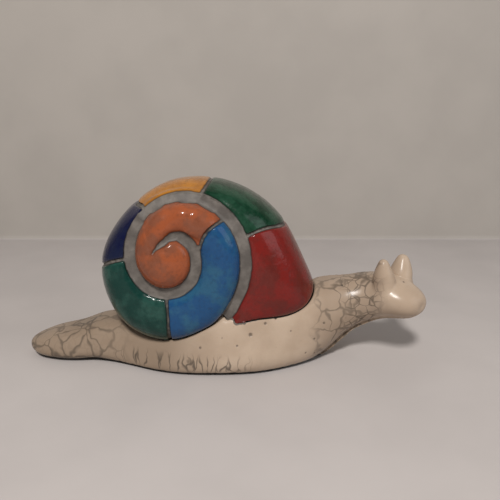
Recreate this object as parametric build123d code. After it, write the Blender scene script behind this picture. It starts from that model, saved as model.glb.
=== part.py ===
from build123d import *
import math
import os

# A hand-built raku snail: a glazed clay body and a clay coil shell luted together with slip, two rolled
# tentacles, and seven coloured glaze fields that stand proud of the bare clay lines of the shell.
# Frame: +X towards the head, +Y the snail's left, +Z up, origin on the table under the sole.
# All sizes are in millimetres.

# Body
BODY_LENGTH = 199.0
FOOT_WIDTH = 60.0
NECK_HEIGHT = 43.0
GLAZE_THICKNESS = 0.7
# Curved faces that meet stay this far apart
FACE_GAP = 0.1

# Shell, coiled about an axis along Y
SHELL_RADIUS = 41.0
SHELL_WIDTH = 66.0
COIL_X = -24.7
COIL_HEIGHT = 54.3
BUD_RADIUS = 7.0
RESIST_LINE_WIDTH = 1.5

# Layer of slip between the shell and the body, measured out from the glazed shell
SLIP_THICKNESS = 1.0

# Tentacles
TENTACLE_HEIGHT = 16.0
TENTACLE_RADIUS = 4.3

HALF_WIDTH = SHELL_WIDTH / 2
HALF_LENGTH = BODY_LENGTH / 2
HALF_FOOT = FOOT_WIDTH / 2

# Stations of the body from tail to snout. Each row: place along the half length, step aside in half
# foot widths, heading in degrees, half width in half foot widths, underside and top in neck heights,
# and how much of the foot's flared outline the section has.
BODY_SHARES = [
    (-0.985, 0.00, 0, 0.16, 0.075, 0.185, 0.3),
    (-0.955, 0.00, 0, 0.29, 0.040, 0.225, 0.4),
    (-0.905, 0.00, 0, 0.40, 0.018, 0.270, 0.5),
    (-0.825, 0.00, 0, 0.485, 0.008, 0.318, 0.6),
    (-0.705, 0.00, 0, 0.52, 0.004, 0.390, 0.6),
    (-0.575, 0.00, 0, 0.54, 0.000, 0.470, 0.7),
    (-0.455, 0.00, 0, 0.64, -0.035, 0.460, 0.9),
    (-0.325, 0.00, 0, 0.82, -0.035, 0.450, 1.0),
    (-0.185, 0.00, 0, 0.95, -0.035, 0.540, 1.0),
    (-0.045, 0.00, 0, 1.00, -0.035, 0.720, 1.0),
    (0.100, 0.00, 0, 0.99, -0.035, 0.865, 1.0),
    (0.240, 0.00, 0, 0.90, -0.035, 0.850, 0.9),
    (0.360, 0.00, 0, 0.75, -0.030, 0.810, 0.7),
    (0.470, 0.00, 0, 0.60, 0.010, 0.875, 0.4),
    (0.560, -0.01, 2, 0.49, 0.130, 0.918, 0.1),
    (0.640, -0.03, 7, 0.42, 0.290, 0.948, 0.0),
    (0.720, -0.08, 15, 0.395, 0.405, 0.985, 0.0),
    (0.790, -0.17, 26, 0.41, 0.485, 1.005, 0.0),
    (0.850, -0.29, 37, 0.41, 0.525, 0.990, 0.0),
    (0.900, -0.43, 44, 0.37, 0.548, 0.930, 0.0),
    (0.935, -0.55, 46, 0.27, 0.590, 0.860, 0.0),
]
TAIL_TIP_SHARES = (-0.998, 0.00, 0.12)
SNOUT_TIP_SHARES = (0.950, -0.610, 0.72)

# One half of the foot's outline, from under the middle to the top: shares of half width and height.
FOOT_OUTLINE_SHARES = [
    (0.00, 0.00), (0.50, 0.00), (0.86, 0.035), (1.00, 0.17), (0.975, 0.37),
    (0.91, 0.60), (0.81, 0.82), (0.52, 0.960), (0.00, 1.00),
]

# The bare seam between the turns. Each row: angle turned from straight up, radius about the coil's
# axis and half width in shell radii, height of its face from the middle in half shell widths.
SEAM_SHARES = [
    (-30, 0.180, 0.010, 0.930), (-15, 0.200, 0.022, 0.930), (0, 0.227, 0.030, 0.925),
    (15, 0.335, 0.050, 0.900), (30, 0.366, 0.056, 0.880), (60, 0.364, 0.058, 0.870),
    (90, 0.351, 0.060, 0.860), (135, 0.346, 0.062, 0.845), (180, 0.344, 0.062, 0.825),
    (230, 0.346, 0.062, 0.790), (252, 0.358, 0.062, 0.770), (291, 0.410, 0.062, 0.740),
    (324, 0.510, 0.062, 0.715), (349, 0.634, 0.062, 0.700), (361, 0.695, 0.062, 0.700),
    (383, 0.790, 0.062, 0.715), (406, 0.849, 0.062, 0.735), (427, 0.883, 0.062, 0.755),
    (450, 0.890, 0.062, 0.775), (470, 0.893, 0.060, 0.775),
    (495, 0.915, 0.050, 0.750), (525, 0.950, 0.020, 0.700), (540, 0.960, 0.010, 0.650),
]
SEAM_END = 495

# The coiled tube, in the same shares. Each row: angle turned, radius of the crest, height of the crest,
# height at the inner and at the outer edge, radius of the outside, how far the outside has rounded over
# (0 pressed flat against the next turn, 1 fully round), and the roundness power.
COIL_SHARES = [
    (-15, 0.00, 1.000, 0.968, 0.968, 0.30, 0, 2.6),
    (0, 0.00, 1.000, 0.968, 0.960, 0.30, 0, 2.6),
    (30, 0.00, 1.000, 0.968, 0.890, 0.30, 0, 2.6),
    (60, 0.00, 1.000, 0.968, 0.880, 0.30, 0, 2.6),
    (120, 0.00, 1.000, 0.968, 0.870, 0.30, 0, 2.6),
    (180, 0.00, 1.000, 0.968, 0.850, 0.30, 0, 2.6),
    (240, 0.00, 1.000, 0.968, 0.810, 0.32, 0, 2.6),
    (270, 0.02, 1.000, 0.968, 0.790, 0.34, 0, 2.6),
    (300, 0.06, 0.995, 0.968, 0.765, 0.40, 0, 2.7),
    (330, 0.22, 0.975, 0.965, 0.745, 0.50, 0, 2.9),
    (360, 0.46, 0.960, 0.945, 0.730, 0.64, 0, 3.0),
    (390, 0.59, 0.955, 0.900, 0.750, 0.75, 0, 2.8),
    (420, 0.62, 0.950, 0.890, 0.785, 0.82, 0, 2.6),
    (450, 0.63, 0.945, 0.880, 0.805, 0.84, 0, 2.6),
    (480, 0.63, 0.930, 0.870, 0.800, 0.86, 0, 2.5),
    (495, 0.63, 0.918, 0.865, 0.800, 0.95, 0, 2.5),
    (510, 0.63, 0.905, 0.860, 0.790, 0.98, 0.3, 2.6),
    (525, 0.63, 0.892, 0.855, 0.740, 1.01, 0.7, 2.8),
    (540, 0.63, 0.880, 0.850, 0.650, 1.03, 1, 2.8),
    (570, 0.60, 0.845, 0.820, 0.600, 0.992, 1, 2.6),
    (600, 0.53, 0.810, 0.800, 0.600, 0.885, 1, 2.4),
    (630, 0.44, 0.785, 0.775, 0.600, 0.795, 1, 2.4),
    (660, 0.36, 0.775, 0.745, 0.600, 0.720, 1, 2.4),
    (690, 0.34, 0.775, 0.700, 0.600, 0.725, 1, 2.4),
    (720, 0.40, 0.780, 0.640, 0.600, 0.830, 1, 2.4),
    (735, 0.46, 0.785, 0.625, 0.600, 0.900, 1, 2.4),
    (750, 0.54, 0.790, 0.640, 0.600, 0.993, 1, 2.4),
    (765, 0.63, 0.795, 0.680, 0.600, 1.110, 1, 2.3),
    (780, 0.74, 0.795, 0.730, 0.600, 1.245, 1, 2.3),
    (795, 0.84, 0.795, 0.765, 0.600, 1.390, 1, 2.2),
    (810, 0.95, 0.795, 0.780, 0.600, 1.535, 1, 2.1),
    (825, 1.02, 0.795, 0.785, 0.600, 1.790, 1, 2.1),
    (840, 1.06, 0.790, 0.780, 0.600, 1.660, 1, 2.1),
    (855, 1.04, 0.780, 0.770, 0.600, 1.350, 1, 2.1),
]
ROUND_SPLIT_SHARE = 0.85
BUD_POWER = 2.6
BUD_EDGE_SHARE = 0.870
BUD_EDGE_RADIUS_SHARE = 0.284
STATION_STEP = 15

# The bare lines between the coloured fields, each from the seam outwards, as shares of the shell's
# radius along and up from the coil's axis.
LINE_SHARES = {
    "orange_to_blue": [(0.308, -0.029), (0.376, 0.112), (0.436, 0.304), (0.531, 0.417), (0.654, 0.484), (0.748, 0.521)],
    "blue_to_green": [(-0.002, -0.289), (0.022, -0.554), (0.018, -1.002), (0.013, -1.279)],
    "green_to_navy": [(-0.292, 0.061), (-0.433, 0.040), (-0.576, 0.007), (-0.760, -0.089), (-0.962, -0.209)],
    "navy_to_yellow": [(-0.102, 0.561), (-0.205, 0.598), (-0.361, 0.605), (-0.512, 0.631)],
    "yellow_to_green": [(0.358, 0.651), (0.427, 0.783), (0.483, 0.869), (0.558, 1.021)],
    "green_to_red": [(0.748, 0.211), (0.910, 0.298), (1.095, 0.360), (1.355, 0.342), (1.588, 0.301)],
}
LINE_REACH_SHARE = 0.8
# Which stretch of the coil each coloured field is cut from, with a few stations to spare, and the lines
# that it starts and ends at.
FACE_FIELDS = {
    "orange_glaze": (-15, 465, None, "orange_to_blue"),
    "blue_glaze": (390, 570, "orange_to_blue", "blue_to_green"),
}
OUTSIDE_FIELDS = {
    "lower_green_glaze": (495, 660, "blue_to_green", "green_to_navy"),
    "navy_glaze": (600, 735, "green_to_navy", "navy_to_yellow"),
    "yellow_glaze": (660, 780, "navy_to_yellow", "yellow_to_green"),
    "upper_green_glaze": (705, 840, "yellow_to_green", "green_to_red"),
    "red_glaze": (735, 855, "green_to_red", None),
}
FIELDS_ON_BODY = ("blue_glaze", "lower_green_glaze", "red_glaze")
# The stretches of the coil that sit in slip on the body.
SEATED_TURNS = {"rear_slip_joint": (495, 690), "front_slip_joint": (735, 855)}

# Each tentacle: tip along the half length, aside in half foot widths and up in neck heights, how far
# its foot stands ahead and aside of the tip in the same shares, and how thick it was rolled.
TENTACLE_SHARES = {
    "near_tentacle": (0.771, -0.400, 1.222, 0.016, 0.030, 1.00),
    "far_tentacle": (0.899, -0.050, 1.214, -0.020, -0.060, 1.12),
}
# The outline of a tentacle from its tip to its hidden foot: shares of its radius and height.
TENTACLE_OUTLINE_SHARES = [
    (0.00, 1.00), (0.30, 0.985), (0.50, 0.94), (0.60, 0.87), (0.68, 0.76),
    (0.76, 0.62), (0.86, 0.47), (1.02, 0.34), (1.30, 0.22), (1.45, 0.10), (1.50, 0.00),
]
ARC_POINTS = 8


def smooth_row(table, at):
    """Row of a table of stations at any place between them, on a smooth curve through them."""
    last = len(table) - 1
    i = max(k for k in range(last) if table[k][0] <= at or k == 0)
    before, a, b, after = table[max(i - 1, 0)], table[i], table[i + 1], table[min(i + 2, last)]
    span = b[0] - a[0]
    t = (at - a[0]) / span
    row = []
    for k in range(len(a)):
        slope_a = (b[k] - before[k]) / (b[0] - before[0]) * span
        slope_b = (after[k] - a[k]) / (after[0] - a[0]) * span
        row.append(
            (2 * t**3 - 3 * t**2 + 1) * a[k]
            + (t**3 - 2 * t**2 + t) * slope_a
            + (3 * t**2 - 2 * t**3) * b[k]
            + (t**3 - t**2) * slope_b
        )
    return row


def curve(points, spacing, tangents=None):
    """A smooth curve through points, with its knots spaced alike on every section of a form."""
    return Edge.make_spline(points, tangents=tangents, parameters=spacing)


def even(steps):
    return [k / steps for k in range(steps + 1)]


def crowded(steps):
    """Shares from 0 to 1 that crowd towards both ends."""
    return [(1 - math.cos(math.pi * share)) / 2 for share in even(steps)]


def along_line(points):
    """How far along a broken line each of its points lies, as shares of its length."""
    runs = [0.0]
    for a, b in zip(points, points[1:]):
        runs.append(runs[-1] + math.dist(a, b))
    return [run / runs[-1] for run in runs]


# Body

def body_outline(flare):
    """Points up one side of a body section as shares of half width and height."""
    half = []
    steps = len(FOOT_OUTLINE_SHARES) - 1
    for k, (side, height) in enumerate(FOOT_OUTLINE_SHARES):
        turn = math.pi * (k / steps - 0.5)
        oval_side, oval_height = math.cos(turn), (1 + math.sin(turn)) / 2
        half.append((flare * side + (1 - flare) * oval_side, flare * height + (1 - flare) * oval_height))
    return half


def body_section(row):
    along, aside, heading, width, bottom, top, flare = row
    half_width = width * HALF_FOOT
    low = bottom * NECK_HEIGHT
    high = top * NECK_HEIGHT
    turn = math.radians(heading)
    sideways = Vector(math.sin(turn), math.cos(turn), 0)
    foot = Vector(along * HALF_LENGTH, aside * HALF_FOOT, low)
    rise = Vector(0, 0, high - low)
    left = [foot + sideways * (side * half_width) + rise * height for side, height in body_outline(flare)]
    right = [foot - sideways * (side * half_width) + rise * height for side, height in body_outline(flare)]
    spacing = along_line(FOOT_OUTLINE_SHARES)
    back = [1 - share for share in spacing[::-1]]
    return Wire([
        curve(left, spacing, [sideways, -sideways]),
        curve(right[::-1], back, [-sideways, sideways]),
    ])


def body_form():
    tips = []
    for along, aside, up in (TAIL_TIP_SHARES, SNOUT_TIP_SHARES):
        tips.append(Vertex(along * HALF_LENGTH, aside * HALF_FOOT, up * NECK_HEIGHT))
    wires = [body_section(row) for row in BODY_SHARES]
    return Solid.make_loft([tips[0], *wires, tips[1]])


# Shell

def coil_point(turned, radius, y):
    turn = math.radians(turned)
    return Vector(COIL_X + radius * math.sin(turn), y, COIL_HEIGHT + radius * math.cos(turn))


def seam_at(turned):
    """Radius, half width and face height of the seam, or nothing beyond its ends."""
    if not SEAM_SHARES[0][0] <= turned <= SEAM_SHARES[-1][0]:
        return None
    _, radius, half, face = smooth_row(SEAM_SHARES, turned)
    return radius * SHELL_RADIUS, half * SHELL_RADIUS, face * HALF_WIDTH


def fall(share, power):
    return max(0.0, 1 - abs(share) ** power) ** (1 / power)


def coil_profile(turned, inset):
    """Half profile of the tube as (radius, height): the face, then the rounded outside."""
    _, crest_radius, crest, inner, outer, outside, wrap, power = smooth_row(COIL_SHARES, turned)
    crest_radius *= SHELL_RADIUS
    crest, inner, outer = crest * HALF_WIDTH - inset, inner * HALF_WIDTH - inset, outer * HALF_WIDTH - inset
    outside = outside * SHELL_RADIUS - inset
    wrap = min(max(wrap, 0), 1)
    before, after = seam_at(turned - 360), seam_at(turned)
    start = before[0] + before[1] if before else BUD_RADIUS
    pressed = after[0] - after[1] if after else 0
    half = outside - crest_radius
    split = (1 - wrap) * pressed + wrap * (crest_radius + ROUND_SPLIT_SHARE * half)
    edge = (1 - wrap) * outer + wrap * crest * fall(ROUND_SPLIT_SHARE, power)
    reach = (split - crest_radius) / max(fall(edge / crest, power), 0.05)
    behind = (crest_radius - start) / max(fall(inner / crest, power), 0.05)

    def height(radius):
        size = reach if radius >= crest_radius else behind
        return crest * fall((radius - crest_radius) / size, power)

    lift = inner - height(start)
    face = []
    for t in crowded(ARC_POINTS):
        radius = start + (split - start) * t
        face.append((radius, height(radius) + lift * (1 - t) ** 2))
    rounded = []
    for k in range(ARC_POINTS // 2 + 1):
        y = face[-1][1] * (1 - k / (ARC_POINTS // 2))
        rounded.append((split + wrap * half * (fall(y / crest, power) - fall(edge / crest, power)), y))
    return face, rounded


def coil_section(turned, inset):
    face, rounded = coil_profile(turned, inset)
    near = [coil_point(turned, r, -y) for r, y in face]
    far = [coil_point(turned, r, y) for r, y in face]
    back = [coil_point(turned, r, -y) for r, y in rounded]
    back += [coil_point(turned, r, y) for r, y in rounded[-2::-1]]
    return Wire([
        curve(near, crowded(ARC_POINTS)),
        curve(back, even(len(back) - 1)),
        curve(far[::-1], crowded(ARC_POINTS)),
        Edge.make_line(far[0], near[0]),
    ])


def coil_form(start, end, inset):
    steps = round((end - start) / STATION_STEP)
    return Solid.make_loft([coil_section(start + STATION_STEP * k, inset) for k in range(steps + 1)])


def seam_form():
    first, last = SEAM_SHARES[0][0], SEAM_END
    wires = []
    for k in range(round((last - first) / STATION_STEP) + 1):
        turned = first + STATION_STEP * k
        radius, half, face = seam_at(turned)
        half -= FACE_GAP
        corners = [(radius - half, -face), (radius + half, -face), (radius + half, face), (radius - half, face)]
        wires.append(Wire.make_polygon([coil_point(turned, r, y) for r, y in corners], close=True))
    return Solid.make_loft(wires)


def face_skin(start, end, side, thickness):
    """The glaze on one face of a stretch of the coil, from seam to seam."""
    wires = []
    for k in range(round((end - start) / STATION_STEP) + 1):
        turned = start + STATION_STEP * k
        top = [coil_point(turned, r, side * y) for r, y in coil_profile(turned, 0)[0]]
        under = [coil_point(turned, r, side * y) for r, y in coil_profile(turned, thickness)[0]]
        wires.append(Wire([
            curve(top, crowded(ARC_POINTS)),
            Edge.make_line(top[-1], under[-1]),
            curve(under[::-1], crowded(ARC_POINTS)),
            Edge.make_line(under[0], top[0]),
        ]))
    return Solid.make_loft(wires)


def outside_skin(start, end, outer, inner):
    """A layer round a stretch of the coil's last turn, from the near seam over the back to the far seam."""
    wires = []
    for k in range(round((end - start) / STATION_STEP) + 1):
        turned = start + STATION_STEP * k
        chains = []
        for inset in (outer, inner):
            face, rounded = coil_profile(turned, inset)
            near = [coil_point(turned, r, -y) for r, y in face]
            far = [coil_point(turned, r, y) for r, y in face][::-1]
            back = [coil_point(turned, r, -y) for r, y in rounded]
            back += [coil_point(turned, r, y) for r, y in rounded[-2::-1]]
            chains.append((near, back, far))
        top, under = chains
        spacings = [crowded(ARC_POINTS), even(len(top[1]) - 1), crowded(ARC_POINTS)]
        edges = [curve(points, spacing) for points, spacing in zip(top, spacings)]
        edges.append(Edge.make_line(top[2][-1], under[2][-1]))
        edges += [curve(points[::-1], spacing) for points, spacing in zip(under[::-1], spacings)]
        edges.append(Edge.make_line(under[0][0], top[0][0]))
        wires.append(Wire(edges))
    return Solid.make_loft(wires)


def bud_height(radius, inset):
    crest, edge = HALF_WIDTH - inset, BUD_EDGE_SHARE * HALF_WIDTH - inset
    reach = BUD_EDGE_RADIUS_SHARE * SHELL_RADIUS / fall(edge / crest, BUD_POWER)
    return crest * fall(radius / reach, BUD_POWER)


def bud_face(low, high):
    """Half of a lens or pin section about the coil's axis, between two lines of points."""
    return Face(Wire([
        Edge.make_spline(high),
        Edge.make_line(high[-1], low[-1]),
        Edge.make_spline(low[::-1]),
        Edge.make_line(low[0], high[0]),
    ]))


def bud_line(inset):
    radius = BUD_RADIUS - FACE_GAP
    return [Vector(radius * k / ARC_POINTS, bud_height(radius * k / ARC_POINTS, inset)) for k in range(ARC_POINTS + 1)]


def bud_pin():
    """The clay at the middle of the coil, right through the shell, domed at both ends."""
    high = bud_line(GLAZE_THICKNESS)
    low = [Vector(p.X, -p.Y) for p in high]
    return Pos(COIL_X, 0, COIL_HEIGHT) * revolve(bud_face(low, high), axis=Axis.Y)


def bud_skin():
    return Pos(COIL_X, 0, COIL_HEIGHT) * revolve(
        bud_face(bud_line(GLAZE_THICKNESS - FACE_GAP), bud_line(0)), axis=Axis.Y
    )


def line_cutter(name, backward):
    """A slab standing on one bare line and reaching away along the coil, half a line width beyond it."""
    places = [Vector(COIL_X + x * SHELL_RADIUS, 0, COIL_HEIGHT + z * SHELL_RADIUS) for x, z in LINE_SHARES[name]]
    run = (places[-1] - places[0]).normalized()
    ahead = Vector(run.Z, 0, -run.X) * (-1 if backward else 1)
    near = [place - ahead * (RESIST_LINE_WIDTH / 2) for place in places]
    far = [place + ahead * (LINE_REACH_SHARE * SHELL_RADIUS) for place in (places[-1], places[0])]
    rim = [
        Edge.make_spline(near),
        Edge.make_line(near[-1], far[0]),
        Edge.make_line(far[0], far[1]),
        Edge.make_line(far[1], near[0]),
    ]
    return extrude(Face(Wire(rim)), SHELL_WIDTH, dir=Vector(0, 1, 0), both=True)


def between_lines(skin, first, last):
    if first:
        skin = skin - line_cutter(first, True)
    if last:
        skin = skin - line_cutter(last, False)
    return skin


# Tentacles

def tentacle_form(name):
    along, aside, up, ahead, beside, thickness = TENTACLE_SHARES[name]
    tip = Vector(along * HALF_LENGTH, aside * HALF_FOOT, up * NECK_HEIGHT)
    lean = Vector(-ahead * HALF_LENGTH, -beside * HALF_FOOT, TENTACLE_HEIGHT).normalized()
    stand = Plane(origin=tip - lean * TENTACLE_HEIGHT, z_dir=lean)
    radius = thickness * TENTACLE_RADIUS
    rim = [Vector(r * radius, 0, h * TENTACLE_HEIGHT) for r, h in TENTACLE_OUTLINE_SHARES]
    foot = Vector(0, 0, 0)
    half = Face(Wire([Edge.make_spline(rim), Edge.make_line(rim[-1], foot), Edge.make_line(foot, rim[0])]))
    return stand.location * revolve(half, axis=Axis.Z)


def biggest(shape):
    return max(shape.solids(), key=lambda solid: solid.volume)


def export(shape, name):
    export_step(shape, os.path.join("parts", name + ".step"))


def export_pair(shape, name):
    export(shape, "far_" + name)
    export(mirror(shape, Plane.XZ), "near_" + name)


def main():
    os.makedirs("parts", exist_ok=True)
    seam = seam_form()
    export(coil_form(COIL_SHARES[0][0], COIL_SHARES[-1][0], GLAZE_THICKNESS), "shell_coil")
    export(seam, "shell_seam")
    export(bud_pin(), "shell_bud")
    export_pair(bud_skin(), "bud_glaze")

    body = body_form()
    under = GLAZE_THICKNESS - FACE_GAP
    for name, (start, end, first, last) in FACE_FIELDS.items():
        skin = between_lines(face_skin(start, end, 1, under), first, last)
        if name in FIELDS_ON_BODY:
            skin = skin - body
        export_pair(biggest(skin), name)
    for name, (start, end, first, last) in OUTSIDE_FIELDS.items():
        skin = between_lines(outside_skin(start, end, 0, under), first, last)
        if name in FIELDS_ON_BODY:
            skin = skin - body
        export(biggest(skin), name)

    half_space = Box(BODY_LENGTH * 2, BODY_LENGTH, BODY_LENGTH)
    rest = body - Pos(0, 0, -BODY_LENGTH / 2) * half_space - seam
    for name, (start, end) in SEATED_TURNS.items():
        export(biggest(outside_skin(start, end, -SLIP_THICKNESS, GLAZE_THICKNESS) & body), name)
        rest = rest - coil_form(start, end, -SLIP_THICKNESS)
    rest = biggest(rest)
    export(rest, "body")
    for name in TENTACLE_SHARES:
        export(biggest(tentacle_form(name) - rest), name)


main()
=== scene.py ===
import math

import bpy
import numpy as np
from mathutils import Matrix, Vector, noise
from mathutils.bvhtree import BVHTree


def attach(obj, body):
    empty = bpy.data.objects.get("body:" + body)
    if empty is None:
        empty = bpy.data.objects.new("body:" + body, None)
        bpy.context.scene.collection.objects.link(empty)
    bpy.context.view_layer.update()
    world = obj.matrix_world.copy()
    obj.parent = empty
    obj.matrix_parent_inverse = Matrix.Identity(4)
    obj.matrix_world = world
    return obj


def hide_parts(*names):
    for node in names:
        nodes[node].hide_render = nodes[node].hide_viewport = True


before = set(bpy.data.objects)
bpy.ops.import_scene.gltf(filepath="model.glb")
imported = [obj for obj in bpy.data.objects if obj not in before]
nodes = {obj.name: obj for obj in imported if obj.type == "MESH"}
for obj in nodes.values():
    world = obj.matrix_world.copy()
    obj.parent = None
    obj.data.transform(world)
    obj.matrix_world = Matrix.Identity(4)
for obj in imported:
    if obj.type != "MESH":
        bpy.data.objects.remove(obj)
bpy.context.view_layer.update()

# The looks of a raku-fired snail. Lengths are in metres and colours are linear. Two values in a row are
# where a change begins and where it is complete. Along the body they are shares of its length.

MM = 0.001

# Camera, as the photograph was taken
CAMERA_PLACE = (0.0135, -0.241, 0.114)
CAMERA_PITCH = math.radians(14)
LENS = 36.0
SENSOR = 36.0
PHOTO_SIZE = 500

# Meshes: the size of their faces, and the rounds of smoothing and blurring over them
VOXEL = 0.42 * MM
SHELL_SMOOTHING = 3
SHELL_FINISHING = 4
BODY_SMOOTHING = 10
HEAD_SOFTENING = 14
SEAT_SOFTENING = 45
HORN_SOFTENING = 3
MEND_SOFTENING = 60
EDGE_BLUR = 5
PILLOW_BLUR = 60
GROOVE_BLUR = 12
SLIP_BLUR = 3
SEAT_BLUR = 12
MEND_BLUR = 12
SOFT_SHARE = 0.5
OUTWARD_SHARE = -0.53

# Relief of the hand-made surface
LUMP_HEIGHT = 0.30 * MM
LUMP_SIZE = 17 * MM
PATCH_SIZE = 20 * MM
SHELL_LUMP_SEED = 5
BODY_LUMP_SEED = 3
PATCH_SEED = 11
PILLOW_HEIGHT = 0.35 * MM
PILLOW_COVER_SHARES = (0.55, 1.0)
GROOVE_DEPTH = 0.25 * MM

# Tentacles, foot and the joint between body and shell. The foot's dark band of bare clay and the dark line of
# clay round the joint are partly painted shade.
HORN_GROWTH = 1.5 * MM
HORN_GROWTH_SHARES = (1, 1, 0.1)
HORN_ALONG_SHARES = (0.83, 0.86)
HORN_FOOT_HEIGHTS = (38.5 * MM, 43 * MM)
HORN_TIP_HEIGHTS = (44 * MM, 52.5 * MM)
HEAD_ALONG_SHARES = (0.80, 0.84)
HEAD_HEIGHTS = (30 * MM, 35 * MM)
# The dark band of bare clay along the foot also stands in for the contact shadow under its edge: painted
# shade.
FOOT_DARK_BAND = 2.8 * MM
FOOT_DARK_BAND_SHARE = 0.45
FOOT_TUCK = 1.6 * MM
FOOT_TUCK_HEIGHTS = (0.3 * MM, 2.2 * MM)
LUMP_HEIGHTS = (0.3 * FOOT_DARK_BAND, 2 * FOOT_DARK_BAND)
SEAT_COVER_SHARES = (0.02, 0.3)
SEAT_REACH = (1.5 * MM, 4 * MM)
# The dark line round the shell's joint is bare slip clay and painted shade between shell and body.
JOINT_CLAY_AND_SHADE_REACH = (0.35 * MM, 1.3 * MM)
SEARCH_REACH = 6 * MM
OUT_OF_REACH = 1000 * MM

# Where the crackle, the strokes and the smoke lie on the body
TAIL_END_SHARES = (0.20, 0.30)
NECK_START_SHARES = (0.70, 0.76)
NECK_END_SHARES = (0.86, 0.90)
FRONT_START_SHARES = (0.78, 0.82)
FLANK_START_SHARES = (0.22, 0.28)
FLANK_END_SHARES = (0.52, 0.60)
REAR_END_SHARES = (0.36, 0.52)
STROKE_FOOT_HEIGHTS = (1.5 * MM, 4 * MM)
STROKE_TOP_HEIGHTS = (7 * MM, 12 * MM)

# Where the orange field starts: the middle of the coil, the seam's size, the angles in degrees from straight
# up at which the outer part of the field and its crease begin and end, and the thin tip by the blue field
COIL_PLACE = (-24.7 * MM, 54.3 * MM)
SEAM_HALF_WIDTH = 2.54 * MM
SEAM_DEPTH = 0.55 * MM
MIDDLE_REACH = 4 * MM
BAND_START = -24
CREASE_END = 28
TIP_START = 60
TIP_END = 120
TIP_RADIUS = 15.4 * MM
MEND_COVER_SHARES = (0.02, 0.22)
# The seam's two turns there: the angle, then in millimetres the first turn's radius and half width and the
# second turn's radius
SEAM_TURNS = (
    (-55, 6.8, 0.0, 17.5), (-30, 7.4, 0.4, 22.0), (-15, 8.2, 0.9, 25.2), (0, 9.7, 1.3, 28.3),
    (15, 13.3, 2.0, 31.1), (30, 15.0, 2.3, 33.3), (46, 14.97, 2.32, 34.8),
)

SLIP_NODES = ("rear_slip_joint", "front_slip_joint")
BODY_NODES = ("body", "near_tentacle", "far_tentacle") + SLIP_NODES
BARE_NODES = ("shell_coil", "shell_seam", "shell_bud")
# The look of each coloured field: its nodes, its slot, and its colour where the glaze is deep and thin.
FIELDS = {
    "bud_and_band": (
        ("near_bud_glaze", "far_bud_glaze", "near_orange_glaze", "far_orange_glaze"),
        "orange_glaze", (0.29, 0.075, 0.028), (0.20, 0.066, 0.034),
    ),
    "blue_field": (
        ("near_blue_glaze", "far_blue_glaze"),
        "blue_glaze", (0.010, 0.062, 0.165), (0.020, 0.090, 0.168),
    ),
    "lower_green_field": (
        ("lower_green_glaze",),
        "teal_green_glaze", (0.003, 0.033, 0.026), (0.018, 0.066, 0.052),
    ),
    "navy_field": (("navy_glaze",), "navy_glaze", (0.003, 0.005, 0.034), (0.008, 0.012, 0.038)),
    "yellow_field": (("yellow_glaze",), "yellow_glaze", (0.40, 0.158, 0.018), (0.31, 0.122, 0.020)),
    "upper_green_field": (
        ("upper_green_glaze",),
        "forest_green_glaze", (0.001, 0.024, 0.010), (0.014, 0.054, 0.030),
    ),
    "red_field": (("red_glaze",), "red_glaze", (0.165, 0.012, 0.009), (0.115, 0.015, 0.011)),
}
FIELD_SHARE = 0.36

# Pits and chips in the body's glaze, as seen in the photograph: pixel across and down, radius
PITS = (
    (250.5, 335, 0.9), (265.5, 323.5, 0.7), (248, 321.5, 0.55), (275.7, 318.4, 0.6), (200, 348, 0.6),
    (237, 346, 0.5), (324, 323, 0.6), (314.6, 339, 0.55), (305.7, 353, 0.5), (314.6, 353, 0.45),
    (361.8, 318.4, 0.6), (342, 285, 0.6), (403.8, 281.8, 0.6), (291, 331, 0.4), (222, 338, 0.35),
)
PIT_DEPTH_SHARE = 0.5
PIT_EDGE_SHARES = (0.6, 1.3)

# Colours
CREAM = (0.390, 0.297, 0.220)
CREAM_PALE = (0.450, 0.350, 0.265)
CREAM_SMOKED = (0.215, 0.158, 0.112)
# Near-black smoked clay. In the foot band and the line round the shell's joint it is also painted shade.
CRACK = (0.060, 0.048, 0.039)
RAW_CLAY_AND_SHADE = (0.020, 0.016, 0.012)
GREY_CLAY = (0.165, 0.147, 0.130)
GREY_CLAY_DARK = (0.085, 0.074, 0.065)
TABLE = (0.500, 0.462, 0.445)
WALL = (0.420, 0.385, 0.350)

# Patterns in clay and glaze: their sizes in millimetres, and the heights that they give the surface
CLAY_CLOUD = 7.0
CLAY_FLECK = 1.1
CLAY_GRAIN = 0.55
CLAY_GRAIN_HEIGHT = 0.25 * MM
GLAZE_CLOUD = 11.0
GLAZE_SPECK = 1.6
GLAZE_WAVE = 5.0
GLAZE_SKIN = 1.3
CREAM_CLOUD = 16.0
CREAM_SPECK = 0.9
CREAM_WAVE = 7.0
CREAM_SKIN = 1.5
WAVE_HEIGHT = 0.8 * MM
SKIN_HEIGHT = 0.2 * MM
FOOT_RAGGEDNESS = 3.0
FOOT_GRAIN = 0.6
FOOT_GRAIN_HEIGHT = 0.3 * MM
STAGE_CLOUD = 60.0
CRACK_WANDER = 9.0
CRACK_UNEVENNESS = 6.0
# Each kind of crack: the size of its cells, its width and how the pattern is stretched
WIDE_CRACKS = (9.5, 0.95, (1, 1, 1))
FINE_CRACKS = (5.0, 0.50, (1, 1, 1))
UPRIGHT_CRACKS = (8.0, 0.62, (2.0, 0.7, 0.17))

# Stage and lights
TABLE_REACH = 1.6
WALL_DISTANCE = 0.26
CORNER_RADIUS = 4 * MM
CORNER_STEPS = 8
LIGHT_TARGET = (-0.01, 0, 0.03)
KEY_PLACE = (-0.06, -0.62, 0.68)
KEY_SIZE = (0.11, 0.15)
KEY_POWER = 7.4
KEY_COLOUR = (1.0, 0.97, 0.94)
FILL_PLACE = (0.75, -0.35, 0.45)
FILL_SIZE = (0.6, 0.6)
FILL_POWER = 1.6
FILL_COLOUR = (0.93, 0.96, 1.0)
ROOM_COLOUR = (0.80, 0.78, 0.76, 1)
ROOM_STRENGTH = 0.25


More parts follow.
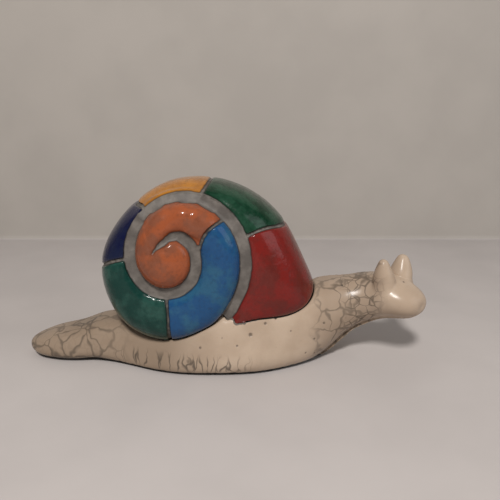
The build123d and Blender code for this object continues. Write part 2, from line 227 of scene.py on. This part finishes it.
# Meshes

def points_of(mesh):
    co = np.empty(len(mesh.vertices) * 3, dtype=np.float32)
    mesh.vertices.foreach_get("co", co)
    return co.reshape(-1, 3).astype(np.float64)


def put_points(mesh, points):
    mesh.vertices.foreach_set("co", points.astype(np.float32).ravel())
    mesh.update()


def edges_of(mesh):
    pairs = np.empty(len(mesh.edges) * 2, dtype=np.int32)
    mesh.edges.foreach_get("vertices", pairs)
    return pairs.reshape(-1, 2)


def relaxed(values, edges, rounds, share=1.0):
    """Values at the vertices after each has moved towards the mean of its neighbours, round after round."""
    values = np.array(values, dtype=np.float64)
    flat = values.ndim == 1
    if flat:
        values = values[:, None]
    count = np.bincount(edges.ravel(), minlength=len(values)).astype(np.float64)[:, None]
    for _ in range(rounds):
        total = np.zeros_like(values)
        for k in range(values.shape[1]):
            total[:, k] += np.bincount(edges[:, 0], weights=values[edges[:, 1], k], minlength=len(values))
            total[:, k] += np.bincount(edges[:, 1], weights=values[edges[:, 0], k], minlength=len(values))
        values += share * (total / np.maximum(count, 1) - values)
    return values[:, 0] if flat else values


def smoothed(points, edges, rounds):
    """Points smoothed without shrinking: each round in is followed by a slightly longer one out."""
    for _ in range(rounds):
        points = relaxed(points, edges, 1, SOFT_SHARE)
        points = relaxed(points, edges, 1, OUTWARD_SHARE)
    return points


def triangles_of(names):
    """Corners and triangles of several CAD nodes as one soup, with each triangle's node."""
    corners, triangles, owners = [], [], []
    for name in names:
        mesh = nodes[name].data
        mesh.calc_loop_triangles()
        found = np.empty(len(mesh.loop_triangles) * 3, dtype=np.int32)
        mesh.loop_triangles.foreach_get("vertices", found)
        triangles.append(found.reshape(-1, 3) + sum(len(c) for c in corners))
        corners.append(points_of(mesh))
        owners += [name] * (len(found) // 3)
    return np.vstack(corners), np.vstack(triangles), owners


def nearest_nodes(points, names):
    """The CAD node that each point lies nearest to."""
    corners, triangles, owners = triangles_of(names)
    tree = BVHTree.FromPolygons([tuple(c) for c in corners], [tuple(t) for t in triangles])
    return [owners[tree.find_nearest(tuple(p))[2]] for p in points]


def biggest_piece(mesh):
    """True at each vertex of the largest connected piece, and not at the small pockets left inside it."""
    edges = edges_of(mesh)
    label = np.arange(len(mesh.vertices))
    while True:
        low = np.minimum(label[edges[:, 0]], label[edges[:, 1]])
        np.minimum.at(label, edges[:, 0], low)
        np.minimum.at(label, edges[:, 1], low)
        label = label[label]
        if (label[edges[:, 0]] == label[edges[:, 1]]).all():
            break
    return label == np.bincount(label).argmax()


def mesh_from(name, points, faces):
    mesh = bpy.data.meshes.new(name)
    mesh.from_pydata([tuple(p) for p in points], [], [tuple(f) for f in faces])
    mesh.validate()
    return mesh


def quads_of(mesh):
    return [tuple(p.vertices) for p in mesh.polygons]


def part_of(mesh, name, keep_vertex=None, keep_face=None):
    """A new mesh with the kept vertices or faces, and the number of the old vertex behind each new one."""
    faces = quads_of(mesh)
    if keep_face is None:
        faces = [f for f in faces if all(keep_vertex[v] for v in f)]
    else:
        faces = [f for f, kept in zip(faces, keep_face) if kept]
    used = sorted({v for f in faces for v in f})
    renumbered = {old: new for new, old in enumerate(used)}
    points = points_of(mesh)[used]
    return mesh_from(name, points, [[renumbered[v] for v in f] for f in faces]), np.array(used)


def merged(name, names):
    """One even mesh round several CAD nodes."""
    corners, triangles, _ = triangles_of(names)
    raw = bpy.data.objects.new(name, mesh_from(name, corners, triangles))
    bpy.context.scene.collection.objects.link(raw)
    remesh = raw.modifiers.new("even", "REMESH")
    remesh.mode = "VOXEL"
    remesh.voxel_size = VOXEL
    evaluated = raw.evaluated_get(bpy.context.evaluated_depsgraph_get())
    mesh = bpy.data.meshes.new_from_object(evaluated)
    bpy.data.objects.remove(raw)
    mesh, _ = part_of(mesh, name, keep_vertex=biggest_piece(mesh))
    return mesh


def normals_of(mesh):
    normals = np.empty(len(mesh.vertices) * 3, dtype=np.float32)
    mesh.vertices.foreach_get("normal", normals)
    return normals.reshape(-1, 3).astype(np.float64)


def lumps(points, size, seed):
    shift = Vector((seed, 2 * seed, 3 * seed))
    return np.array([noise.noise(Vector(p) / size + shift) for p in points])


def put_value(mesh, name, values):
    layer = mesh.attributes.new(name, "FLOAT", "POINT")
    layer.data.foreach_set("value", np.asarray(values, dtype=np.float32))


def ramp(values, start, end):
    """0 before start, 1 after end, and smooth between."""
    t = np.clip((values - start) / (end - start), 0, 1)
    return t * t * (3 - 2 * t)


def add_piece(mesh, name, material, slot, *replaced):
    piece = bpy.data.objects.new(name, mesh)
    bpy.context.scene.collection.objects.link(piece)
    mesh.materials.clear()
    mesh.materials.append(material)
    for polygon in mesh.polygons:
        polygon.use_smooth = True
    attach(piece, "root")
    if replaced:
        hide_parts(*replaced)
    return piece


# Materials

class Sheet:
    """A material's node tree, with short ways to add the nodes that the looks share."""

    def __init__(self, name):
        self.material = bpy.data.materials.new(name)
        self.material.use_nodes = True
        self.tree = self.material.node_tree
        self.tree.nodes.clear()
        self.output = self.add("ShaderNodeOutputMaterial")
        place = self.add("ShaderNodeTexCoord")
        self.place = self.math("VectorMath", "SCALE", place.outputs["Object"], scale=1 / MM)

    def add(self, kind, **settings):
        node = self.tree.nodes.new(kind)
        for key, value in settings.items():
            setattr(node, key, value)
        return node

    def link(self, source, socket):
        self.tree.links.new(source, socket)

    def feed(self, socket, value):
        if isinstance(value, bpy.types.NodeSocket):
            self.link(value, socket)
        elif isinstance(value, tuple) and len(value) == 3 and socket.type == "RGBA":
            socket.default_value = (*value, 1)
        else:
            socket.default_value = value

    def math(self, kind, operation, *values, scale=None):
        node = self.add("ShaderNode" + kind, operation=operation)
        for socket, value in zip(node.inputs, values):
            self.feed(socket, value)
        if scale is not None:
            node.inputs["Scale"].default_value = scale
        return node.outputs[0]

    def value(self, name):
        return self.add("ShaderNodeAttribute", attribute_name=name).outputs["Fac"]

    def noise(self, size, detail=3.0, place=None, roughness=0.5):
        node = self.add("ShaderNodeTexNoise")
        self.link(place or self.place, node.inputs["Vector"])
        node.inputs["Scale"].default_value = 1 / size
        node.inputs["Detail"].default_value = detail
        node.inputs["Roughness"].default_value = roughness
        return node

    def span(self, value, low, high, to_low=0.0, to_high=1.0):
        node = self.add("ShaderNodeMapRange", interpolation_type="SMOOTHSTEP")
        for socket, number in zip(node.inputs, (value, low, high, to_low, to_high)):
            self.feed(socket, number)
        return node.outputs["Result"]

    def mix(self, share, a, b):
        node = self.add("ShaderNodeMix", data_type="RGBA")
        self.feed(node.inputs["Factor"], share)
        self.feed(node.inputs[6], a)
        self.feed(node.inputs[7], b)
        return node.outputs[2]

    def bump(self, height, strength, distance, normal=None):
        node = self.add("ShaderNodeBump")
        node.inputs["Strength"].default_value = strength
        node.inputs["Distance"].default_value = distance
        self.link(height, node.inputs["Height"])
        if normal:
            self.link(normal, node.inputs["Normal"])
        return node.outputs["Normal"]

    def surface(self, **sockets):
        node = self.add("ShaderNodeBsdfPrincipled")
        for name, value in sockets.items():
            self.feed(node.inputs[name.replace("_", " ")], value)
        return node.outputs["BSDF"]

    def blend(self, share, a, b):
        node = self.add("ShaderNodeMixShader")
        self.feed(node.inputs[0], share)
        self.link(a, node.inputs[1])
        self.link(b, node.inputs[2])
        return node.outputs[0]

    def finish(self, shader):
        self.link(shader, self.output.inputs["Surface"])
        return self.material


def cracks(sheet, cell, width, stretch):
    """Thin wandering lines between cells of about that size, 1 on a line."""
    wander = sheet.noise(CRACK_WANDER, 2.0)
    off = sheet.math("VectorMath", "SUBTRACT", wander.outputs["Color"], (0.5, 0.5, 0.5))
    off = sheet.math("VectorMath", "SCALE", off, scale=cell * 0.9)
    place = sheet.math("VectorMath", "ADD", sheet.place, off)
    place = sheet.math("VectorMath", "MULTIPLY", place, stretch)
    cells = sheet.add("ShaderNodeTexVoronoi", feature="DISTANCE_TO_EDGE")
    sheet.link(place, cells.inputs["Vector"])
    cells.inputs["Scale"].default_value = 1 / cell
    uneven = sheet.noise(CRACK_UNEVENNESS, 2.0)
    edge = sheet.span(uneven.outputs["Fac"], 0.35, 0.65, width * 0.35 / cell, width * 1.5 / cell)
    return sheet.math("Math", "SUBTRACT", 1.0, sheet.span(cells.outputs["Distance"], 0.0, edge))


def clay_shader(sheet, edge=None):
    """Bare clay greyed by smoke, blacker where it runs under a glaze's edge."""
    cloud = sheet.noise(CLAY_CLOUD, 4.0).outputs["Fac"]
    colour = sheet.mix(sheet.span(cloud, 0.35, 0.68), GREY_CLAY_DARK, GREY_CLAY)
    fleck = sheet.noise(CLAY_FLECK, 3.0).outputs["Fac"]
    colour = sheet.mix(sheet.span(fleck, 0.52, 0.75, 0.0, 0.45), colour, GREY_CLAY_DARK)
    if edge is not None:
        colour = sheet.mix(edge, colour, RAW_CLAY_AND_SHADE)
    grain = sheet.bump(sheet.noise(CLAY_GRAIN, 3.0).outputs["Fac"], 0.5, CLAY_GRAIN_HEIGHT)
    return sheet.surface(Base_Color=colour, Roughness=0.62, Normal=grain)


def rim_of(sheet):
    """The black line that smoke leaves in the clay right beside the glaze."""
    return sheet.span(sheet.value("glaze"), 0.22, 0.46, 0.0, 0.85)


def bare_clay():
    sheet = Sheet("bare_clay")
    return sheet.finish(clay_shader(sheet, rim_of(sheet)))


def coloured_glaze(name, deep, thin):
    """Glossy glaze, cloudy within and thin and darker at the rim of its field."""
    sheet = Sheet(name)
    cover = sheet.value("glaze")
    cloud = sheet.noise(GLAZE_CLOUD, 4.0, roughness=0.6).outputs["Fac"]
    colour = sheet.mix(sheet.span(cloud, 0.42, 0.62), deep, thin)
    speck = sheet.noise(GLAZE_SPECK, 3.0, roughness=0.7).outputs["Fac"]
    dark = tuple(0.45 * c for c in deep)
    colour = sheet.mix(sheet.span(speck, 0.50, 0.72, 0.0, 0.5), colour, dark)
    rim = sheet.span(cover, 0.58, 0.99, 0.8, 0.0)
    colour = sheet.mix(rim, colour, tuple(0.30 * c for c in deep))
    wave = sheet.bump(sheet.noise(GLAZE_WAVE, 2.0).outputs["Fac"], 0.35, WAVE_HEIGHT)
    skin = sheet.bump(sheet.noise(GLAZE_SKIN, 2.0).outputs["Fac"], 0.18, SKIN_HEIGHT, wave)
    rough = sheet.span(speck, 0.4, 0.7, 0.16, 0.30)
    glaze = sheet.surface(
        Base_Color=colour, Roughness=rough, Normal=skin,
        Coat_Weight=0.20, Coat_Roughness=0.06, Specular_IOR_Level=0.20,
    )
    clay = clay_shader(sheet, rim_of(sheet))
    return sheet.finish(sheet.blend(sheet.span(cover, 0.46, 0.60), clay, glaze))


def cream_glaze():
    """Pale crackle glaze: smoke in the cracks, brown pits, and dark bare clay along the foot and round the
    shell's joint, which is partly painted shade.
    """
    sheet = Sheet("cream_glaze")
    cloud = sheet.noise(CREAM_CLOUD, 4.0).outputs["Fac"]
    colour = sheet.mix(sheet.span(cloud, 0.35, 0.65), CREAM, CREAM_PALE)
    colour = sheet.mix(sheet.value("smoke"), colour, CREAM_SMOKED)
    wide = cracks(sheet, *WIDE_CRACKS)
    fine = cracks(sheet, *FINE_CRACKS)
    upright = cracks(sheet, *UPRIGHT_CRACKS)
    net = sheet.math("Math", "MULTIPLY", wide, sheet.value("crackle"))
    small = sheet.math("Math", "MULTIPLY", fine, sheet.value("fine_crackle"))
    strokes = sheet.math("Math", "MULTIPLY", upright, sheet.value("strokes"))
    line = sheet.math("Math", "MAXIMUM", sheet.math("Math", "MAXIMUM", net, small), strokes)
    colour = sheet.mix(sheet.math("Math", "MULTIPLY", line, 0.78), colour, CRACK)
    speck = sheet.noise(CREAM_SPECK, 2.0).outputs["Fac"]
    colour = sheet.mix(sheet.span(speck, 0.66, 0.80, 0.0, 0.30), colour, CREAM_SMOKED)
    colour = sheet.mix(sheet.math("Math", "MULTIPLY", sheet.value("pits"), 0.7), colour, CRACK)
    wave = sheet.bump(sheet.noise(CREAM_WAVE, 2.0).outputs["Fac"], 0.25, WAVE_HEIGHT)
    skin = sheet.bump(sheet.noise(CREAM_SKIN, 2.0).outputs["Fac"], 0.10, SKIN_HEIGHT, wave)
    glaze = sheet.surface(
        Base_Color=colour, Roughness=0.25, Normal=skin,
        Coat_Weight=0.03, Coat_Roughness=0.10, Specular_IOR_Level=0.17,
        Subsurface_Weight=0.04, Subsurface_Radius=(2 * MM, 1.5 * MM, MM),
    )
    # Near-black bare clay along the foot, which also serves as a painted contact shadow.
    rough = sheet.bump(sheet.noise(FOOT_GRAIN, 3.0).outputs["Fac"], 0.6, FOOT_GRAIN_HEIGHT)
    clay = sheet.surface(Base_Color=RAW_CLAY_AND_SHADE, Roughness=0.9, Normal=rough)
    torn = sheet.span(sheet.noise(FOOT_RAGGEDNESS, 3.0).outputs["Fac"], 0.3, 0.7, -0.3, 0.3)
    ragged = sheet.math("Math", "ADD", sheet.value("foot_clay_and_shade"), torn)
    skirt = sheet.blend(sheet.span(ragged, 0.40, 0.60), glaze, clay)
    # Darker clay round the shell's joint: bare slip clay and painted shade where the parts meet.
    joint_clay_and_shade = sheet.span(sheet.value("slip"), 0.30, 0.65, 0.0, 0.9)
    return sheet.finish(sheet.blend(joint_clay_and_shade, skirt, clay_shader(sheet, 0.55)))


# Shell

def mended(points, nearest, edges):
    """The start of the orange field made even: its nodes named anew and its steps smoothed away."""
    across, up = points[:, 0] - COIL_PLACE[0], points[:, 2] - COIL_PLACE[1]
    angle, radius = np.degrees(np.arctan2(across, up)), np.hypot(across, up)
    turned, *rows = np.array(SEAM_TURNS).T
    first, half, second = (np.interp(angle, turned, row) * MM for row in rows)
    band = (angle > BAND_START) & (radius < second + SEAM_HALF_WIDTH)
    middle = radius < first + MIDDLE_REACH
    zone = (angle > turned[0]) & (angle < turned[-1]) & (band | middle)
    seam = zone & ((np.abs(radius - first) < half) | (np.abs(radius - second) < SEAM_HALF_WIDTH))
    tip = (angle > TIP_START) & (angle < TIP_END) & (np.abs(radius - TIP_RADIUS) < SEAM_HALF_WIDTH)
    names = list(nearest)
    for k in np.flatnonzero(zone):
        names[k] = "shell_seam" if seam[k] else "near_orange_glaze"
    for k in np.flatnonzero(tip):
        if "orange" in names[k]:
            names[k] = "shell_seam"
    moved = np.array([(new in BARE_NODES) != (old in BARE_NODES) for new, old in zip(names, nearest)])
    creased = band & (angle < CREASE_END) & (radius > first)
    share = ramp(relaxed((moved | creased).astype(float), edges, MEND_BLUR), *MEND_COVER_SHARES)
    sunk = SEAM_DEPTH * relaxed(seam.astype(float), edges, EDGE_BLUR) * share
    share = share[:, None]
    return points * (1 - share) + relaxed(points, edges, MEND_SOFTENING) * share, names, sunk


def add_fields(mesh, nearest, cover):
    """One piece for each coloured field, and one for the bare clay between them."""
    edges, faces = edges_of(mesh), quads_of(mesh)
    numbers = {field: k + 1 for k, field in enumerate(FIELDS)}
    number_of = {node: numbers[field] for field, (members, *_) in FIELDS.items() for node in members}
    number = np.array([number_of.get(name, 0) for name in nearest])
    votes = [relaxed((number == k).astype(float), edges, EDGE_BLUR) for k in numbers.values()]
    chosen = np.where(cover > FIELD_SHARE, np.argmax(votes, axis=0) + 1, 0)
    face_number = np.array([max(chosen[v] for v in f) for f in faces])
    for field, (members, slot, deep, thin) in FIELDS.items():
        part, used = part_of(mesh, field, keep_face=face_number == numbers[field])
        put_value(part, "glaze", cover[used])
        add_piece(part, field, coloured_glaze(slot, deep, thin), slot, *members)
    part, used = part_of(mesh, "bare_clay", keep_face=face_number == 0)
    put_value(part, "glaze", cover[used])
    add_piece(part, "bare_clay", bare_clay(), "bare_clay", *BARE_NODES)


def build_shell():
    """The shell's pieces, cut from one even skin, and that skin as a tree for finding what lies near it."""
    names = BARE_NODES + tuple(n for field in FIELDS.values() for n in field[0])
    mesh = merged("shell", names)
    edges = edges_of(mesh)
    points = points_of(mesh)
    points, nearest, sunk = mended(points, nearest_nodes(points, names), edges)
    covered = np.array([0.0 if name in BARE_NODES else 1.0 for name in nearest])
    points = smoothed(points, edges, SHELL_SMOOTHING)
    put_points(mesh, points)
    pillow = ramp(relaxed(covered, edges, PILLOW_BLUR), *PILLOW_COVER_SHARES)
    groove = 1 - relaxed(covered, edges, GROOVE_BLUR)
    rise = PILLOW_HEIGHT * (pillow - 1) - GROOVE_DEPTH * groove - sunk
    rise += LUMP_HEIGHT / 2 * lumps(points, LUMP_SIZE, SHELL_LUMP_SEED)
    put_points(mesh, smoothed(points + normals_of(mesh) * rise[:, None], edges, SHELL_FINISHING))
    add_fields(mesh, nearest, relaxed(covered, edges, EDGE_BLUR))
    return BVHTree.FromPolygons([tuple(p) for p in points_of(mesh)], quads_of(mesh))


# Body

def photo_ray(across, down):
    """The direction from the camera through a pixel of the photograph."""
    half = PHOTO_SIZE / 2
    reach = SENSOR / 2
    turn = Matrix.Rotation(math.pi / 2 - CAMERA_PITCH, 3, "X")
    return (turn @ Vector(((across - half) / half * reach, (half - down) / half * reach, -LENS))).normalized()


def gaps_to(tree, points):
    """How far each point lies from the surface in the tree, or a long way where it isn't near."""
    found = [tree.find_nearest(Vector(p), SEARCH_REACH)[3] for p in points]
    return np.array([OUT_OF_REACH if gap is None else gap for gap in found])


def above_table(points):
    return np.maximum(points, (-math.inf, -math.inf, 0))


def softened(points, edges, head, seat):
    """Points smoothed a little everywhere, more on the head and most beside the shell."""
    soft = smoothed(points, edges, BODY_SMOOTHING)
    softer = relaxed(soft, edges, HEAD_SOFTENING, SOFT_SHARE)
    softest = relaxed(softer, edges, SEAT_SOFTENING, SOFT_SHARE)
    points = soft * (1 - head) + softer * head
    return above_table(points * (1 - seat) + softest * seat)


def pits_at(mesh, points):
    """How far each point lies in a pit of the glaze, and how deep it sinks there."""
    tree = BVHTree.FromPolygons([tuple(p) for p in points], quads_of(mesh))
    pits, depth = np.zeros(len(points)), np.zeros(len(points))
    for across, down, radius in PITS:
        hit = tree.ray_cast(Vector(CAMERA_PLACE), photo_ray(across, down))[0]
        if hit is None:
            continue
        away = np.linalg.norm(points - np.array(hit), axis=1) / (radius * MM)
        spot = 1 - ramp(away, *PIT_EDGE_SHARES)
        pits = np.maximum(pits, spot)
        depth += PIT_DEPTH_SHARE * radius * MM * spot
    return pits, depth


def put_marks(mesh, along, up, patch):
    """Where the body's crackle, strokes and smoke show, from 0 to 1."""
    tail = 1 - ramp(along, *TAIL_END_SHARES)
    rear = 1 - ramp(along, *REAR_END_SHARES)
    neck_end = 1 - ramp(along, *NECK_END_SHARES)
    neck = ramp(along, *NECK_START_SHARES) * neck_end
    front = ramp(along, *FRONT_START_SHARES) * neck_end
    flank = ramp(along, *FLANK_START_SHARES) * (1 - ramp(along, *FLANK_END_SHARES))
    low = ramp(up, *STROKE_FOOT_HEIGHTS) * (1 - ramp(up, *STROKE_TOP_HEIGHTS))
    put_value(mesh, "crackle", np.clip(tail * (0.55 + 0.5 * patch) + neck * (0.45 + 0.5 * patch), 0, 1))
    put_value(mesh, "fine_crackle", np.clip(front * 0.9 + tail * 0.25 * patch, 0, 1))
    put_value(mesh, "strokes", np.clip(flank * low, 0, 1))
    put_value(mesh, "smoke", np.clip(rear * (0.55 + 0.35 * patch) + 0.45 * neck, 0, 1))


def build_body(shell):
    mesh = merged("body_and_tentacles", BODY_NODES)
    edges = edges_of(mesh)
    points = points_of(mesh)
    low, high = points.min(axis=0), points.max(axis=0)
    along = (points[:, 0] - low[0]) / (high[0] - low[0])
    up = points[:, 2]
    nearest = nearest_nodes(points, BODY_NODES)
    slip = relaxed([1.0 if name in SLIP_NODES else 0.0 for name in nearest], edges, SLIP_BLUR)
    on_slip = ramp(relaxed(slip, edges, SEAT_BLUR), *SEAT_COVER_SHARES)
    seat = np.maximum(on_slip, 1 - ramp(gaps_to(shell, points), *SEAT_REACH))
    head = ramp(along, *HEAD_ALONG_SHARES) * ramp(up, *HEAD_HEIGHTS)
    points = softened(points, edges, head[:, None], seat[:, None])
    put_points(mesh, points)
    tuck = FOOT_TUCK * (1 - ramp(up, *FOOT_TUCK_HEIGHTS))
    points = points - normals_of(mesh) * tuck[:, None] * (1, 1, 0)
    put_points(mesh, points)
    horns = ramp(along, *HORN_ALONG_SHARES) * ramp(up, *HORN_FOOT_HEIGHTS) * (1 - ramp(up, *HORN_TIP_HEIGHTS))
    points = points + normals_of(mesh) * (HORN_GROWTH * horns)[:, None] * HORN_GROWTH_SHARES
    points = above_table(relaxed(points, edges, HORN_SOFTENING, SOFT_SHARE))
    put_points(mesh, points)
    pits, depth = pits_at(mesh, points)
    lift = LUMP_HEIGHT * lumps(points, LUMP_SIZE, BODY_LUMP_SEED) * ramp(up, *LUMP_HEIGHTS) - depth
    put_points(mesh, points + normals_of(mesh) * lift[:, None])

    put_marks(mesh, along, up, 0.5 + 0.5 * lumps(points, PATCH_SIZE, PATCH_SEED))
    put_value(mesh, "pits", pits)
    # Dark foot band: bare clay and painted contact shadow.
    put_value(mesh, "foot_clay_and_shade", ramp(-up, -FOOT_DARK_BAND, -FOOT_DARK_BAND * FOOT_DARK_BAND_SHARE))
    # Dark line by the shell: joint clay and painted shade.
    put_value(mesh, "slip", 1 - ramp(gaps_to(shell, points), *JOINT_CLAY_AND_SHADE_REACH))
    add_piece(mesh, "body_and_tentacles", cream_glaze(), "cream_glaze", *BODY_NODES)


# Stage

def plain(name, colour, rough):
    sheet = Sheet(name)
    cloud = sheet.noise(STAGE_CLOUD, 4.0).outputs["Fac"]
    shade = sheet.mix(sheet.span(cloud, 0.3, 0.7), colour, tuple(0.93 * c for c in colour))
    return sheet.finish(sheet.surface(Base_Color=shade, Roughness=rough))


def build_stage():
    """A table that bends up into a wall behind the snail."""
    rows = [(-TABLE_REACH, 0.0), (WALL_DISTANCE, 0.0)]
    for k in range(1, CORNER_STEPS + 1):
        turn = math.pi / 2 * k / CORNER_STEPS
        rows.append((WALL_DISTANCE + CORNER_RADIUS * math.sin(turn), CORNER_RADIUS * (1 - math.cos(turn))))
    rows.append((WALL_DISTANCE + CORNER_RADIUS, TABLE_REACH))
    points = [(x, y, z) for y, z in rows for x in (-TABLE_REACH, TABLE_REACH)]
    faces = [(2 * k, 2 * k + 1, 2 * k + 3, 2 * k + 2) for k in range(len(rows) - 1)]
    mesh = mesh_from("table", points, faces)
    mesh.materials.append(plain("table", TABLE, 0.55))
    mesh.materials.append(plain("wall", WALL, 0.9))
    for k, polygon in enumerate(mesh.polygons):
        polygon.material_index = 1 if k >= CORNER_STEPS / 2 else 0
        polygon.use_smooth = True
    table = bpy.data.objects.new("table", mesh)
    bpy.context.scene.collection.objects.link(table)


def add_light(name, place, size, power, colour):
    light = bpy.data.lights.new(name, "AREA")
    light.shape = "RECTANGLE"
    light.size, light.size_y = size
    light.energy = power
    light.color = colour
    holder = bpy.data.objects.new(name, light)
    bpy.context.scene.collection.objects.link(holder)
    holder.location = place
    holder.rotation_euler = (Vector(LIGHT_TARGET) - Vector(place)).to_track_quat("-Z", "Y").to_euler()


def build_lights():
    add_light("key", KEY_PLACE, KEY_SIZE, KEY_POWER, KEY_COLOUR)
    add_light("fill", FILL_PLACE, FILL_SIZE, FILL_POWER, FILL_COLOUR)
    world = bpy.data.worlds.new("room")
    bpy.context.scene.world = world
    world.use_nodes = True
    background = world.node_tree.nodes["Background"]
    background.inputs["Color"].default_value = ROOM_COLOUR
    background.inputs["Strength"].default_value = ROOM_STRENGTH


def build_camera():
    camera = bpy.data.cameras.new("camera")
    camera.lens = LENS
    camera.sensor_width = SENSOR
    holder = bpy.data.objects.new("camera", camera)
    bpy.context.scene.collection.objects.link(holder)
    holder.location = CAMERA_PLACE
    holder.rotation_euler = (math.pi / 2 - CAMERA_PITCH, 0, 0)
    bpy.context.scene.camera = holder
    bpy.context.scene.view_settings.view_transform = "Standard"


build_camera()
build_stage()
build_lights()
build_body(build_shell())
